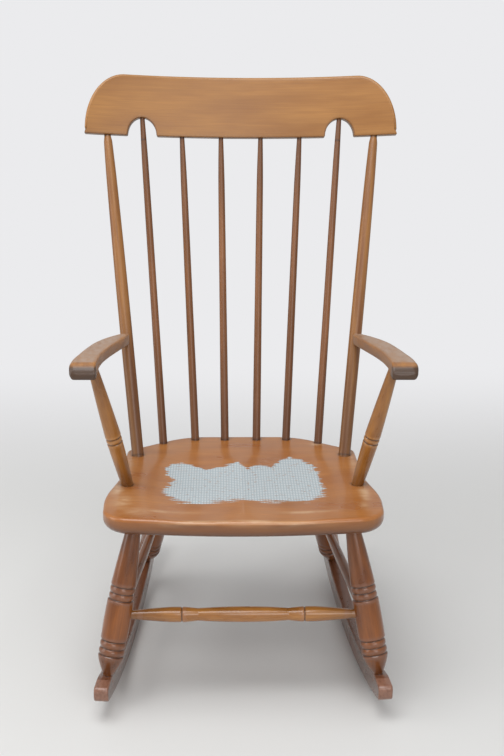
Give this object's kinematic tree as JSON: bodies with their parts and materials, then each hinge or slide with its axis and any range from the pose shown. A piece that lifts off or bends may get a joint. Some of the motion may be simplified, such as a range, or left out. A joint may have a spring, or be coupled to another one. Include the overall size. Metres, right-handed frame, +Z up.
{
  "type": "boston rocking chair",
  "caption": "Wooden rocking chair with a bowed crest rail, turned spindles, legs and stretchers, a saddled seat, curved arms and a pair of arc rockers.",
  "frame": {"origin": "on the floor under the middle of the overall box; the rockers touch the floor 40.1 mm in front of it, under the chair's centre of gravity", "axes": "+X to the sitter's left, -Y the way the sitter faces, +Z up"},
  "size_m": [0.6404, 0.7544, 1.1218],
  "materials": {
    "seat_maple": "semi-gloss lacquer, worn",
    "crest_maple": "satin lacquer",
    "spindle_birch": "satin lacquer",
    "turned_maple": "gloss lacquer",
    "arm_worn": "worn through to bare wood on top",
    "rocker_maple": "gloss lacquer",
    "pin_dowel": "plain dowel",
    "screw_steel": "zinc plated"
  },
  "bodies": {
    "root": {"seat": "seat_maple", "crest_rail": "crest_maple", "left_back_post": "spindle_birch", "left_arm": "arm_worn", "left_arm_support": "turned_maple", "left_front_leg": "turned_maple", "left_rear_leg": "turned_maple", "left_side_stretcher": "turned_maple", "left_rocker": "rocker_maple", "right_back_post": "spindle_birch", "right_arm": "arm_worn", "right_arm_support": "turned_maple", "right_front_leg": "turned_maple", "right_rear_leg": "turned_maple", "right_side_stretcher": "turned_maple", "right_rocker": "rocker_maple", "spindle_1": "spindle_birch", "spindle_2": "spindle_birch", "spindle_3": "spindle_birch", "spindle_4": "spindle_birch", "spindle_5": "spindle_birch", "spindle_6": "spindle_birch", "front_stretcher": "turned_maple", "rear_stretcher": "turned_maple", "rocker_pins": "pin_dowel", "arm_screws": "screw_steel"}
  },
  "joints": []
}
